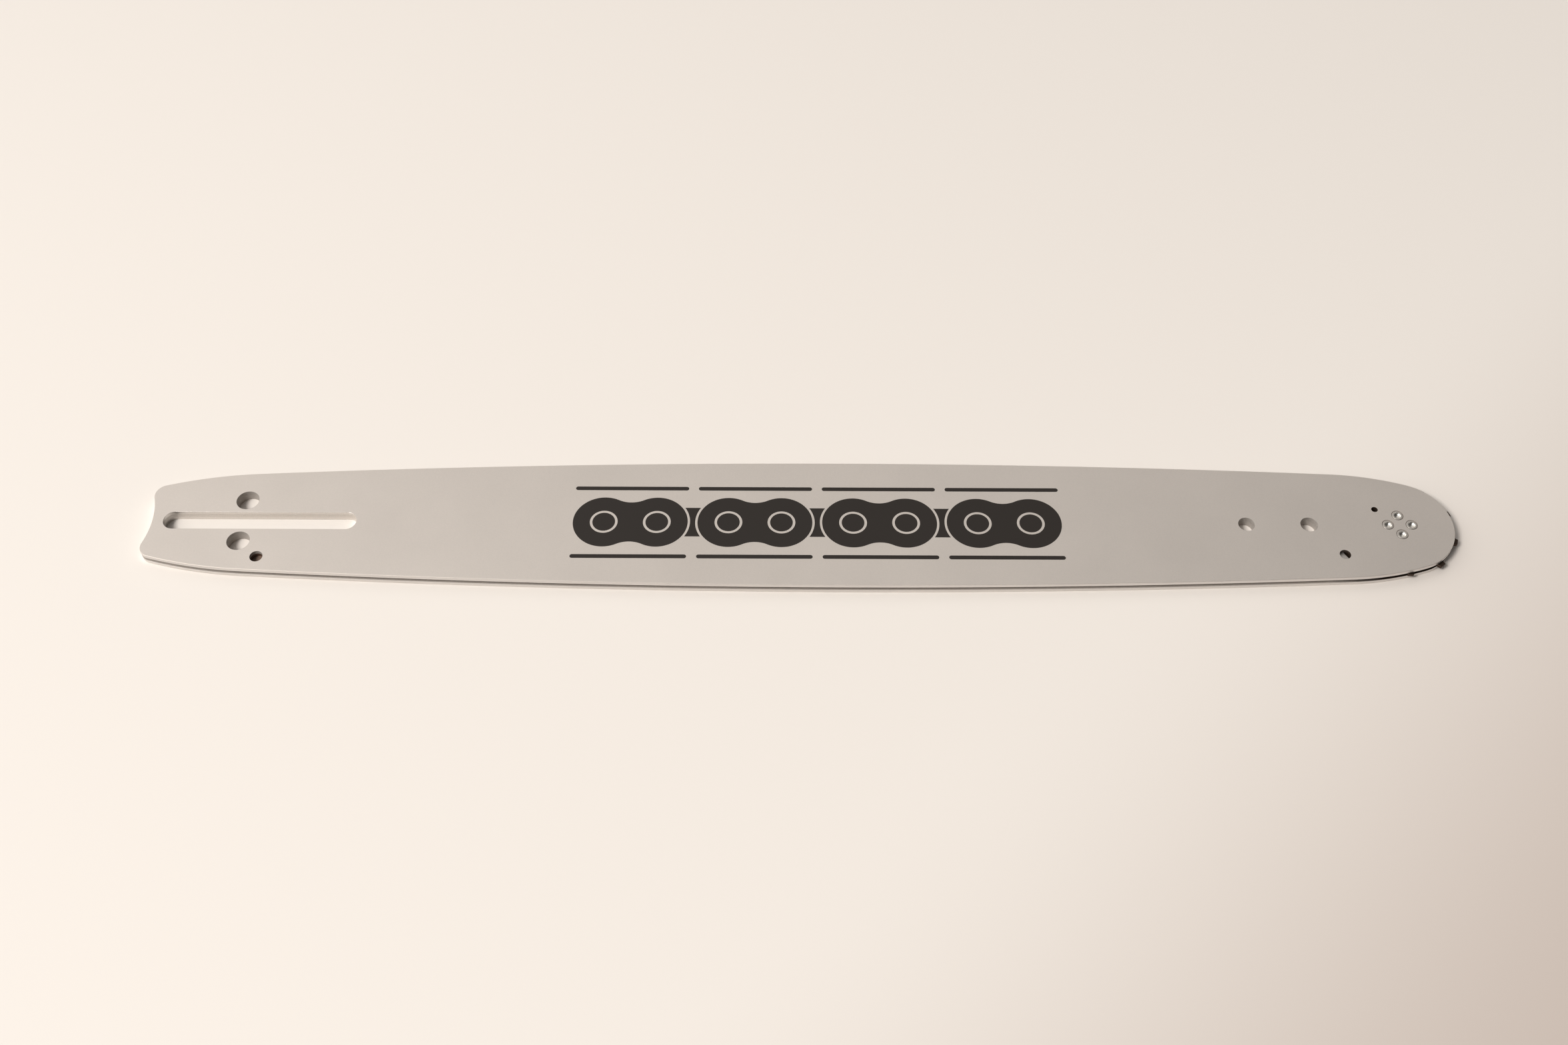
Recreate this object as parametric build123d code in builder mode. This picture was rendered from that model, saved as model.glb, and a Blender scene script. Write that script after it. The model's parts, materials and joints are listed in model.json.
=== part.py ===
from build123d import *
import math
import os

# Chainsaw guide bar: two side plates on a shorter core plate, with a star sprocket that turns
# on loose rollers in the nose. It lies flat, lower face on z = 0, tail towards -X, nose towards +X.

# Laminations
plate_thickness = 1.6
core_thickness = 1.5
groove_depth = 6.5
rail_chamfer = 0.2

# Side plate outline, a chain of tangent arcs from the nose to the hollow in the tail
bar_length = 507.2
body_width = 59.6
widest_from_middle = 16.2
nose_radius = 20.9
nose_shoulder = 3.2
nose_blend_radius = 110.0
tail_taper_radius = 165.0
tail_corner_radius = 4.9
tail_corner_spacing = 25.2
tail_hollow = 1.9

# Saw end: stud slot, chain tensioner holes and oil inlet, placed from the tail
slot_width = 8.2
slot_length = 75.0
slot_from_tail = 6.2
tension_hole_diameter = 8.8
tension_hole_spacing = 19.8
tension_hole_from_tail = 37.2
oil_hole_diameter = 4.9
oil_hole_offset = 17.3
oil_hole_from_tail = 45.5

# Nose end: holes on the centre line, grease hole, peep hole and sprocket cavity, placed from the axle
rear_hole_diameter = 6.4
rear_hole_from_axle = 59.5
front_hole_diameter = 6.7
front_hole_from_axle = 35.2
grease_hole_diameter = 2.4
grease_hole_angle = 138.0
peep_hole_diameter = 4.2
peep_hole_angle = 211.0
peep_hole_from_axle = 28.0
cavity_radius = 27.0

# Star sprocket
tooth_count = 10
tooth_tip_radius = 22.5
tooth_tip_width = 2.4
tooth_tip_rounding = 0.4
valley_floor_radius = 15.6
valley_rounding = 3.6
side_clearance = 0.1

# Roller bearing under the sprocket
hub_radius = 8.6
roller_diameter = 2.5
roller_spacing_gap = 0.05
running_clearance = 0.05

# Rivets that clamp the nose plates on the hub
rivet_count = 4
rivet_circle_radius = 4.6
rivet_shank_diameter = 2.8
rivet_head_diameter = 4.5
rivet_dish_diameter = 2.7
rivet_dish_depth = 0.8
rivet_clearance = 0.03
countersink_angle = 90.0

# Levels and places that follow from the sizes above
stack_thickness = 2 * plate_thickness + core_thickness
upper_plate_level = plate_thickness + core_thickness
tail_x = -bar_length / 2
axle_x = bar_length / 2 - nose_radius
axle = Vector(axle_x, 0)
widest_from_axle = axle_x - widest_from_middle
core_level = Plane((axle_x, 0, plate_thickness))
running_level = core_level.offset(side_clearance)
running_thickness = core_thickness - 2 * side_clearance
roller_orbit_radius = hub_radius + running_clearance + roller_diameter / 2
sprocket_bore_radius = roller_orbit_radius + roller_diameter / 2 + running_clearance
roller_count = math.floor(2 * math.pi * roller_orbit_radius / (roller_diameter + roller_spacing_gap))


def common_centre(centre_a: Vector, reach_a: float, centre_b: Vector, reach_b: float, side: int) -> Vector:
    """Centre at the two given distances, to the left (1) or right (-1) of the line from a to b."""
    line = centre_b - centre_a
    along = (reach_a**2 - reach_b**2 + line.length**2) / (2 * line.length)
    across = math.sqrt(reach_a**2 - along**2)
    forward = line.normalized()
    return centre_a + forward * along + Vector(-forward.Y, forward.X) * (side * across)


def rim_point(centre: Vector, radius: float, towards: Vector) -> Vector:
    """Point of a circle on the line from its centre towards another point."""
    return centre + (towards - centre).normalized() * radius


# Side plate outline: the centres of its arcs on the upper half, then the points where they touch
side_drop = body_width / 2 - nose_radius - nose_shoulder
side_radius = (widest_from_axle**2 + side_drop**2) / (2 * side_drop)
side_centre = axle + Vector(-widest_from_axle, body_width / 2 - side_radius)
blend_centre = common_centre(
    side_centre, side_radius - nose_blend_radius, axle, nose_blend_radius - nose_radius, 1
)
corner_centre = Vector(tail_x + tail_corner_radius, tail_corner_spacing / 2)
taper_centre = common_centre(
    side_centre, side_radius - tail_taper_radius, corner_centre, tail_taper_radius - tail_corner_radius, -1
)
hollow_floor = Vector(tail_x + tail_hollow, 0)
hollow_radius = (corner_centre.Y**2 + tail_hollow**2) / (2 * tail_hollow) - tail_corner_radius
hollow_centre = hollow_floor - Vector(hollow_radius, 0)

nose_to_blend = rim_point(blend_centre, nose_blend_radius, axle)
blend_to_side = rim_point(side_centre, side_radius, blend_centre)
side_to_taper = rim_point(side_centre, side_radius, taper_centre)
taper_to_corner = rim_point(taper_centre, tail_taper_radius, corner_centre)
corner_to_hollow = rim_point(corner_centre, tail_corner_radius, hollow_centre)

with BuildSketch() as plate_outline:
    with BuildLine():
        RadiusArc(axle + Vector(nose_radius, 0), nose_to_blend, -nose_radius)
        RadiusArc(nose_to_blend, blend_to_side, -nose_blend_radius)
        RadiusArc(blend_to_side, side_to_taper, -side_radius)
        RadiusArc(side_to_taper, taper_to_corner, -tail_taper_radius)
        RadiusArc(taper_to_corner, corner_to_hollow, -tail_corner_radius)
        RadiusArc(corner_to_hollow, hollow_floor, hollow_radius)
        mirror(about=Plane.XZ)
    make_face()

# Openings that go through all three laminations
slot_x = tail_x + slot_from_tail + slot_length / 2
tension_hole_x = tail_x + tension_hole_from_tail
with BuildSketch() as through_openings:
    with Locations((slot_x, 0)):
        SlotOverall(slot_length, slot_width)
    with Locations((tension_hole_x, 0)):
        with GridLocations(0, tension_hole_spacing, 1, 2):
            Circle(tension_hole_diameter / 2)
    with Locations((axle_x - rear_hole_from_axle, 0)):
        Circle(rear_hole_diameter / 2)
    with Locations((axle_x - front_hole_from_axle, 0)):
        Circle(front_hole_diameter / 2)

# Side plates: one stamping, used as it is on top and turned over below
oil_hole_x = tail_x + oil_hole_from_tail
with BuildPart() as upper_side_plate:
    with BuildSketch(Plane.XY.offset(upper_plate_level)):
        add(plate_outline.sketch)
        add(through_openings.sketch, mode=Mode.SUBTRACT)
        with Locations((oil_hole_x, -oil_hole_offset)):
            Circle(oil_hole_diameter / 2, mode=Mode.SUBTRACT)
        with Locations((axle_x, 0)):
            with PolarLocations(sprocket_bore_radius, 1, grease_hole_angle):
                Circle(grease_hole_diameter / 2, mode=Mode.SUBTRACT)
            with PolarLocations(peep_hole_from_axle, 1, peep_hole_angle):
                Circle(peep_hole_diameter / 2, mode=Mode.SUBTRACT)
    extrude(amount=plate_thickness)
    outer_face = upper_side_plate.faces().sort_by(Axis.Z)[-1]
    chamfer(outer_face.outer_wire().edges(), rail_chamfer)
    with Locations((axle_x, 0, stack_thickness)):
        with PolarLocations(rivet_circle_radius, rivet_count):
            CounterSinkHole(
                rivet_shank_diameter / 2 + rivet_clearance,
                rivet_head_diameter / 2 + rivet_clearance,
                counter_sink_angle=countersink_angle,
            )

bar_axis = Axis((0, 0, stack_thickness / 2), (1, 0, 0))
with BuildPart() as lower_side_plate:
    add(upper_side_plate.part.rotate(bar_axis, 180))

# Core plate: set back from the rails to leave the chain groove, open at the nose for the sprocket
tongue_width = tail_corner_spacing + 2 * (tail_corner_radius - groove_depth)
with BuildPart() as core_plate:
    with BuildSketch(Plane.XY.offset(plate_thickness)):
        add(plate_outline.sketch)
        offset(amount=-groove_depth, mode=Mode.REPLACE)
        with Locations((tail_x, 0)):
            Rectangle(2 * (tail_hollow + groove_depth), tongue_width)
        add(plate_outline.sketch, mode=Mode.INTERSECT)
        add(through_openings.sketch, mode=Mode.SUBTRACT)
        with Locations((axle_x, 0)):
            Circle(cavity_radius, mode=Mode.SUBTRACT)
        with Locations((oil_hole_x, 0)):
            with GridLocations(0, 2 * oil_hole_offset + groove_depth, 1, 2):
                SlotCenterToCenter(groove_depth, oil_hole_diameter, 90, mode=Mode.SUBTRACT)
    extrude(amount=core_thickness)

# Star sprocket: a ring with a round-bottomed valley between each pair of teeth
half_pitch = 180 / tooth_count
valley_centre_radius = valley_floor_radius + valley_rounding
tip_corner = Vector(tooth_tip_radius, -tooth_tip_width / 2).rotate(Axis.Z, half_pitch)
flank_end = tip_corner - Vector(valley_centre_radius, 0)
flank_bearing = math.atan2(flank_end.Y, flank_end.X) + math.acos(valley_rounding / flank_end.length)
flank_start = Vector(math.cos(flank_bearing), math.sin(flank_bearing)) * valley_rounding
mouth_corner = flank_end + (flank_end - flank_start)

with BuildSketch() as valley:
    Circle(valley_rounding)
    with BuildLine():
        Polyline(
            (flank_start.X, flank_start.Y),
            (mouth_corner.X, mouth_corner.Y),
            (mouth_corner.X, -mouth_corner.Y),
            (flank_start.X, -flank_start.Y),
            close=True,
        )
    make_face()

with BuildPart() as nose_sprocket:
    with BuildSketch(running_level) as star:
        Circle(tooth_tip_radius)
        with PolarLocations(valley_centre_radius, tooth_count):
            add(valley.sketch, mode=Mode.SUBTRACT)
        tip_corners = star.vertices().group_by(lambda corner: round(Vector(corner).length, 3))[-1]
        fillet(tip_corners, tooth_tip_rounding)
        Circle(sprocket_bore_radius, mode=Mode.SUBTRACT)
    extrude(amount=running_thickness)

# Bearing hub: spaces the side plates and is the inner race
with BuildPart() as bearing_hub:
    with BuildSketch(core_level):
        Circle(hub_radius)
        with PolarLocations(rivet_circle_radius, rivet_count):
            Circle(rivet_shank_diameter / 2 + rivet_clearance, mode=Mode.SUBTRACT)
    extrude(amount=core_thickness)

# Rivet: a shank with a flared, dished head flush with each side plate
head_height = (rivet_head_diameter - rivet_shank_diameter) / 2 / math.tan(math.radians(countersink_angle / 2))
with BuildPart() as rivet:
    with BuildSketch(Plane.XZ):
        with BuildLine():
            Polyline(
                (rivet_dish_diameter / 2, stack_thickness),
                (rivet_head_diameter / 2, stack_thickness),
                (rivet_shank_diameter / 2, stack_thickness - head_height),
                (rivet_shank_diameter / 2, head_height),
                (rivet_head_diameter / 2, 0),
                (rivet_dish_diameter / 2, 0),
            )
            TangentArc(
                (0, rivet_dish_depth), (rivet_dish_diameter / 2, 0), tangent=(1, 0)
            )
            Line((0, rivet_dish_depth), (0, stack_thickness - rivet_dish_depth))
            TangentArc(
                (0, stack_thickness - rivet_dish_depth),
                (rivet_dish_diameter / 2, stack_thickness),
                tangent=(1, 0),
            )
        make_face()
    revolve(axis=Axis.Z)

with BuildPart() as nose_rivets:
    with Locations((axle_x, 0)):
        with PolarLocations(rivet_circle_radius, rivet_count):
            add(rivet.part)

# One file for each piece
os.makedirs("parts", exist_ok=True)

upper_side_plate.part.label = "upper_side_plate"
export_step(upper_side_plate.part, "parts/upper_side_plate.step")

lower_side_plate.part.label = "lower_side_plate"
export_step(lower_side_plate.part, "parts/lower_side_plate.step")

core_plate.part.label = "core_plate"
export_step(core_plate.part, "parts/core_plate.step")

nose_sprocket.part.label = "nose_sprocket"
export_step(nose_sprocket.part, "parts/nose_sprocket.step")

bearing_hub.part.label = "bearing_hub"
export_step(bearing_hub.part, "parts/bearing_hub.step")

nose_rivets.part.label = "nose_rivets"
export_step(nose_rivets.part, "parts/nose_rivets.step")

# Bearing rollers: loose cylinders side by side round the hub, each its own piece
for number in range(1, roller_count + 1):
    bearing = math.radians(360 / roller_count * number)
    seat = running_level.location.position + Vector(math.cos(bearing), math.sin(bearing)) * roller_orbit_radius
    with BuildPart() as bearing_roller:
        with BuildSketch(Plane(seat)):
            Circle(roller_diameter / 2)
        extrude(amount=running_thickness)
    bearing_roller.part.label = f"bearing_roller_{number:02d}"
    export_step(bearing_roller.part, f"parts/bearing_roller_{number:02d}.step")
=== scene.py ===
"""Looks of a laminated chainsaw guide bar with a sprocket nose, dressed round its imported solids."""

import json
import logging
import math
from dataclasses import dataclass, field, replace
from enum import IntEnum
from typing import Callable, Iterable, Sequence

import bmesh
import bpy
from mathutils import Matrix, Vector
from mathutils.geometry import delaunay_2d_cdt


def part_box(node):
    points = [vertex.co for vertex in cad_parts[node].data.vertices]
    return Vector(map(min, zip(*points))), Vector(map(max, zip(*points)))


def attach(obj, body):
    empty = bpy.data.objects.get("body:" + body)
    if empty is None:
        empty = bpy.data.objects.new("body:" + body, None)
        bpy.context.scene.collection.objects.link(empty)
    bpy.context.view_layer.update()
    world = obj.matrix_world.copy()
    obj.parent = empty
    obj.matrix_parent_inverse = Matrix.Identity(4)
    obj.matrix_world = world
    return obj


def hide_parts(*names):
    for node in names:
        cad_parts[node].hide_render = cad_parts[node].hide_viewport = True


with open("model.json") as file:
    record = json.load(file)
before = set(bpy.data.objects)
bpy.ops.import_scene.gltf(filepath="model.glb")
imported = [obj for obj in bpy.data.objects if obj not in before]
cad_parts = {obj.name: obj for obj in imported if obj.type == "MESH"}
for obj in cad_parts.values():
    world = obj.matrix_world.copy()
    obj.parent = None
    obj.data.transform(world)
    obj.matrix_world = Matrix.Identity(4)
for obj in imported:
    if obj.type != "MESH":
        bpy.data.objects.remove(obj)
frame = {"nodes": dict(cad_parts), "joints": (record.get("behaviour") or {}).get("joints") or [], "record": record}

LOG = logging.getLogger("guide_bar")
MM = 0.001
FULL_TURN = 2 * math.pi
FACET_SAGITTA = 0.003  # largest gap between an arc and its facets, in mm
EDGE_STEPS = 4  # facets in a rounded edge
CHAMFER_STRIPS = 3  # facets in the flat of a chamfered wall and its two soft turns
PLAN_EPSILON = 1e-5  # points of a plan that lie closer than this are one, in mm
AXLE = Vector(frame["joints"][0]["pos_m"]) / MM

Colour = tuple[float, float, float]
Place = tuple[float, float, float]
Plan = list[tuple[Vector, Vector]]


class Surface(IntEnum):
    """Material slots of a side plate, in order."""

    FACE = 0
    RAIL = 1
    BORE = 2
    INNER = 3
    SEAT = 4
    SLOT = 5


@dataclass(frozen=True)
class Level:
    """One ring of a rim's wall: how far it is set into the metal, its height and the tilt of its normal."""

    inset: float
    height: float
    tilt: float


@dataclass(frozen=True)
class Rim:
    """A closed edge of a flat piece in plan, with the wall that runs down from it.

    Each point of the plan comes with the unit vector that leads from it into the metal. The first strips of
    the wall may have the finish of the face.
    """

    plan: Plan
    wall: list[Level]
    surface: Surface = Surface.FACE
    face_strips: int = 0


def upper_edge(top: float, radius: float) -> list[Level]:
    """Levels of a rounded upper edge.

    Args:
        top: Height of the upper face, in mm.
        radius: Radius of the edge, in mm.

    Returns:
        The levels, from the face down to the wall.
    """
    levels = []
    for step in range(EDGE_STEPS + 1):
        tilt = math.radians(90) * (1 - step / EDGE_STEPS)
        levels.append(Level(radius * (1 - math.cos(tilt)), top - radius * (1 - math.sin(tilt)), tilt))
    return levels


def lower_edge(bottom: float, radius: float) -> list[Level]:
    """Levels of a rounded lower edge, from the wall down to the face."""
    levels = reversed(upper_edge(0.0, radius))
    return [Level(level.inset, bottom - level.height, -level.tilt) for level in levels]


def rounded_wall(top: float, bottom: float, upper_round: float, lower_round: float) -> list[Level]:
    """Wall between two rounded edges, from the upper face to the lower one."""
    return upper_edge(top, upper_round) + lower_edge(bottom, lower_round)


def chamfered_wall(
    top: float, bottom: float, chamfer: float, lower_round: float, blend: float
) -> list[Level]:
    """Wall whose upper edge is cut off flat at 45 degrees and whose lower edge is rounded.

    Args:
        top: Height of the upper face, in mm.
        bottom: Height of the lower face, in mm.
        chamfer: Depth of the flat, in mm.
        lower_round: Radius of the lower edge, in mm.
        blend: Half width of the soft turn at each side of the flat, in mm.

    Returns:
        The wall's levels, from the upper face to the lower one.
    """
    slope = math.radians(45)
    flat = [
        Level(chamfer + blend, top, math.radians(90)),
        Level(chamfer - blend, top - blend, slope),
        Level(blend, top - chamfer + blend, slope),
        Level(0.0, top - chamfer - blend, 0.0),
    ]
    return flat + lower_edge(bottom, lower_round)


def countersunk_wall(
    top: float, bottom: float, head_flare: float, rim_round: float, cone_angle: float
) -> list[Level]:
    """Wall of a countersunk hole, measured from the radius of its shank.

    Args:
        top: Height of the countersunk face, in mm.
        bottom: Height of the other face, in mm.
        head_flare: How far the head is wider than the shank, in mm.
        rim_round: Radius of the worn rim, in mm.
        cone_angle: Angle between the cone and its axis, in degrees.

    Returns:
        The wall's levels, from the countersunk face down.
    """
    cone = math.radians(cone_angle)
    return [
        Level(head_flare + rim_round, top, math.radians(90)),
        Level(head_flare, top - rim_round, cone),
        Level(0.0, top - rim_round - head_flare / math.tan(cone), cone),
        Level(0.0, bottom, 0.0),
    ]


def polar(radius: float, degrees: float) -> Vector:
    """Plan vector of a length and a bearing."""
    return Vector((math.cos(math.radians(degrees)), math.sin(math.radians(degrees)))) * radius


def mirrored(plan: Plan, signs: Vector) -> Plan:
    """Points of a plan in reverse order, with the sign of X and Y changed as given."""
    return [(point * signs, into * signs) for point, into in reversed(plan)]


def rim_point(centre: Vector, radius: float, towards: Vector) -> Vector:
    """Point of a circle on the line from its centre towards another point."""
    return centre + (towards - centre).normalized() * radius


def common_centre(first: Vector, reach: float, second: Vector, other_reach: float, side: int) -> Vector:
    """Point at two given distances from two points.

    Args:
        first: First point.
        reach: Distance from the first point.
        second: Second point.
        other_reach: Distance from the second point.
        side: 1 for the point on the left of the line from first to second, -1 for the one on its right.

    Returns:
        The point.
    """
    line = second - first
    along = (reach**2 - other_reach**2 + line.length_squared) / (2 * line.length)
    across = math.sqrt(reach**2 - along**2)
    forward = line.normalized()
    return first + forward * along + Vector((-forward.y, forward.x)) * (side * across)


def arc_facets(radius: float, sweep: float) -> int:
    """Number of facets that an arc of a radius in mm and a sweep in radians needs."""
    return max(1, math.ceil(abs(sweep) / (2 * math.acos(1 - FACET_SAGITTA / radius))))


def circle_plan(centre: Vector, radius: float, is_hole: bool) -> Plan:
    """Circle as a plan.

    Args:
        centre: Middle of the circle, in mm.
        radius: Radius, in mm.
        is_hole: True if the metal lies outside the circle.

    Returns:
        Its points, each with the way into the metal.
    """
    plan = []
    facets = arc_facets(radius, FULL_TURN)
    for number in range(facets):
        out = polar(1, 360 * number / facets)
        plan.append((centre + out * radius, out if is_hole else -out))
    return plan


def slot_plan(centre: Vector, length: float, width: float, is_hole: bool) -> Plan:
    """Round-ended slot or capsule along X as a plan.

    Args:
        centre: Middle of the slot, in mm.
        length: Length over the round ends, in mm.
        width: Width, in mm.
        is_hole: True if the metal lies outside.

    Returns:
        Its points, each with the way into the metal.
    """
    plan = []
    facets = arc_facets(width / 2, math.pi)
    for end, turn in ((1, -90), (-1, 90)):
        middle = centre + Vector((end * (length - width) / 2, 0))
        for number in range(facets + 1):
            out = polar(1, turn + 180 * number / facets)
            plan.append((middle + out * width / 2, out if is_hole else -out))
    return plan


def arc_plan(centre: Vector, start: Vector, end: Vector, bulges_out: bool = True) -> Plan:
    """Arc of an edge from one point to another, the short way, without its last point.

    Args:
        centre: Middle of the arc, in mm.
        start: First point, in mm.
        end: Last point, in mm.
        bulges_out: False if the metal lies outside the arc.

    Returns:
        Its points, each with the way into the metal.
    """
    first, last = start - centre, end - centre
    radius = first.length
    sweep = first.angle_signed(last)
    facets = arc_facets(radius, sweep)
    plan = []
    for number in range(facets):
        out = first.normalized()
        out.rotate(Matrix.Rotation(-sweep * number / facets, 2))
        plan.append((centre + out * radius, -out if bulges_out else out))
    return plan


def solid_triangles(
    plans: Sequence[Sequence[Vector]], is_solid: Callable[[set[int]], bool]
) -> tuple[list[Vector], list[list[int]], list[list[int]]]:
    """Triangles of the plane that lie in the metal.

    Args:
        plans: Closed loops of points.
        is_solid: Says from the loops that a triangle lies inside whether it is metal.

    Returns:
        The points, the triangles as point numbers, and for each point the numbers of the points given.
    """
    points = [point for plan in plans for point in plan]
    loops, first = [], 0
    for plan in plans:
        loops.append(list(range(first, first + len(plan))))
        first += len(plan)
    found, _, faces, sources, _, inside = delaunay_2d_cdt(points, [], loops, 0, PLAN_EPSILON)
    kept = [face for face, loops_in in zip(faces, inside) if is_solid(set(loops_in))]
    return found, kept, sources


def link_object(name: str, data: bpy.types.ID) -> bpy.types.Object:
    """Makes an object of some data.

    Args:
        name: Name of the object.
        data: Its mesh, lamp or camera.

    Returns:
        The object, linked into the scene.
    """
    new_object = bpy.data.objects.new(name, data)
    bpy.context.scene.collection.objects.link(new_object)
    return new_object


@dataclass
class FlatMesh:
    """Mesh of a flat piece in the making: points with exact normals, and faces with their surfaces."""

    points: list[Vector] = field(default_factory=list)
    normals: list[Vector] = field(default_factory=list)
    faces: list[list[int]] = field(default_factory=list)
    surfaces: list[Surface] = field(default_factory=list)

    def add_rim(self, rim: Rim) -> tuple[list[int], list[int]]:
        """Adds the wall of a rim.

        Args:
            rim: The rim.

        Returns:
            Numbers of the points along the wall's upper edge, and along its lower edge.
        """
        count, start = len(rim.plan), len(self.points)
        for level in rim.wall:
            for point, into in rim.plan:
                place = point + into * level.inset
                self.points.append(Vector((place.x, place.y, level.height)) * MM)
                side = -into * math.cos(level.tilt)
                self.normals.append(Vector((side.x, side.y, math.sin(level.tilt))))
        rings = [list(range(start + n * count, start + (n + 1) * count)) for n in range(len(rim.wall))]
        for strip, (upper, lower) in enumerate(zip(rings, rings[1:])):
            for here in range(count):
                after = (here + 1) % count
                self.faces.append([upper[here], lower[here], lower[after], upper[after]])
                self.surfaces.append(Surface.FACE if strip < rim.face_strips else rim.surface)
        return rings[0], rings[-1]

    def add_cap(self, edges: Sequence[Sequence[int]], surface: Surface) -> None:
        """Closes one side of the piece, with metal between each edge and the next one inside it.

        Args:
            edges: Numbers of the points along the edge of each rim on that side.
            surface: Surface of the new faces.
        """
        numbers = [number for edge in edges for number in edge]
        loops = [[self.points[number].xy / MM for number in edge] for edge in edges]
        _, triangles, sources = solid_triangles(loops, lambda inside: len(inside) % 2 == 1)
        for triangle in triangles:
            self.faces.append([numbers[sources[corner][0]] for corner in triangle])
            self.surfaces.append(surface)

    def piece(self, name: str, materials: Sequence[bpy.types.Material]) -> bpy.types.Object:
        """Makes the piece.

        Args:
            name: Name of the piece.
            materials: One for each surface, or a single one for all of them.

        Returns:
            The piece, linked into the scene.
        """
        mesh = bpy.data.meshes.new(name)
        mesh.from_pydata(self.points, [], self.faces)
        for material in materials:
            mesh.materials.append(material)
        if len(materials) > 1:
            mesh.polygons.foreach_set("material_index", self.surfaces)
        face_outwards(mesh)
        mesh.shade_smooth()
        mesh.normals_split_custom_set_from_vertices(self.normals)
        return link_object(name, mesh)


def face_outwards(mesh: bpy.types.Mesh) -> None:
    """Turns the faces of a mesh outwards.

    Args:
        mesh: A closed mesh.
    """
    editable = bmesh.new()
    editable.from_mesh(mesh)
    bmesh.ops.recalc_face_normals(editable, faces=editable.faces)
    editable.to_mesh(mesh)
    editable.free()


def flat_piece(name: str, rims: Sequence[Rim], materials: Sequence[bpy.types.Material]) -> bpy.types.Object:
    """Flat piece bounded by rims, with exact smooth normals.

    Args:
        name: Name of the piece.
        rims: Rims of the metal and of the holes in it, all with their top and bottom at the same heights.
        materials: One for each surface, or a single one for all of them.

    Returns:
        The piece, linked into the scene.
    """
    build = FlatMesh()
    edges = [build.add_rim(rim) for rim in rims]
    build.add_cap([upper for upper, _ in edges], Surface.FACE)
    build.add_cap([lower for _, lower in edges], Surface.INNER)
    return build.piece(name, materials)


def smooth_piece(name: str, editable: bmesh.types.BMesh, smooth_angle: float) -> bpy.types.Object:
    """Closed piece from an editable mesh, which is used up.

    Args:
        name: Name of the piece.
        editable: The editable mesh.
        smooth_angle: Edges turned by less than this are shaded smooth, in degrees.

    Returns:
        The piece, linked into the scene.
    """
    bmesh.ops.recalc_face_normals(editable, faces=editable.faces)
    mesh = bpy.data.meshes.new(name)
    editable.to_mesh(mesh)
    editable.free()
    mesh.shade_smooth()
    mesh.set_sharp_from_angle(angle=math.radians(smooth_angle))
    return link_object(name, mesh)


def turned_piece(
    name: str, profile: Sequence[tuple[float, float]], smooth_angle: float
) -> bpy.types.Object:
    """Turned piece about the Z axis.

    Args:
        name: Name of the piece.
        profile: Radius and height of each point in mm, from the upper end of the axis to its lower end.
        smooth_angle: Edges turned by less than this are shaded smooth, in degrees.

    Returns:
        The piece, linked into the scene.
    """
    points = arc_facets(max(radius for radius, _ in profile), FULL_TURN)
    editable = bmesh.new()
    rings = []
    for radius, height in profile:
        if radius == 0:
            rings.append([editable.verts.new((0, 0, height * MM))])
            continue
        ring = []
        for number in range(points):
            out = polar(radius, 360 * number / points)
            ring.append(editable.verts.new(Vector((out.x, out.y, height)) * MM))
        rings.append(ring)
    for upper, lower in zip(rings, rings[1:]):
        for number in range(points):
            after = (number + 1) % points
            pairs = ((upper, number), (lower, number), (lower, after), (upper, after))
            corners = [ring[place % len(ring)] for ring, place in pairs]
            editable.faces.new(list(dict.fromkeys(corners)))
    return smooth_piece(name, editable, smooth_angle)


def extruded_piece(
    name: str,
    points: Sequence[Vector],
    triangles: Sequence[Sequence[int]],
    heights: tuple[float, float],
    smooth_angle: float,
) -> bpy.types.Object:
    """Flat piece with square edges from the triangles of its plan.

    Args:
        name: Name of the piece.
        points: Points of the plan, in mm.
        triangles: Its triangles as point numbers.
        heights: Heights of its lower and upper face, in mm.
        smooth_angle: Edges turned by less than this are shaded smooth, in degrees.

    Returns:
        The piece, linked into the scene.
    """
    editable = bmesh.new()
    bottom, top = heights
    used = sorted({corner for triangle in triangles for corner in triangle})
    upper = {n: editable.verts.new(Vector((points[n].x, points[n].y, top)) * MM) for n in used}
    lower = {n: editable.verts.new(Vector((points[n].x, points[n].y, bottom)) * MM) for n in used}
    sides: dict[tuple[int, int], None] = {}
    for triangle in triangles:
        editable.faces.new([upper[n] for n in triangle])
        editable.faces.new([lower[n] for n in reversed(triangle)])
        sides.update(dict.fromkeys(zip(triangle, [*triangle[1:], triangle[0]])))
    for start, end in sides:
        if (end, start) not in sides:
            editable.faces.new([upper[start], lower[start], lower[end], upper[end]])
    return smooth_piece(name, editable, smooth_angle)


def noise(material: bpy.types.Material, size: float, detail: float) -> bpy.types.NodeSocket:
    """Adds a noise on Object coordinates to a material.

    Args:
        material: The material.
        size: Size of the noise's cells, in mm.
        detail: Its number of finer octaves.

    Returns:
        The socket that gives it, from 0 to 1.
    """
    nodes, links = material.node_tree.nodes, material.node_tree.links
    place, texture = nodes.new("ShaderNodeTexCoord"), nodes.new("ShaderNodeTexNoise")
    texture.inputs["Scale"].default_value = 1 / (size * MM)
    texture.inputs["Detail"].default_value = detail
    links.new(place.outputs["Object"], texture.inputs["Vector"])
    return texture.outputs["Fac"]


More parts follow.
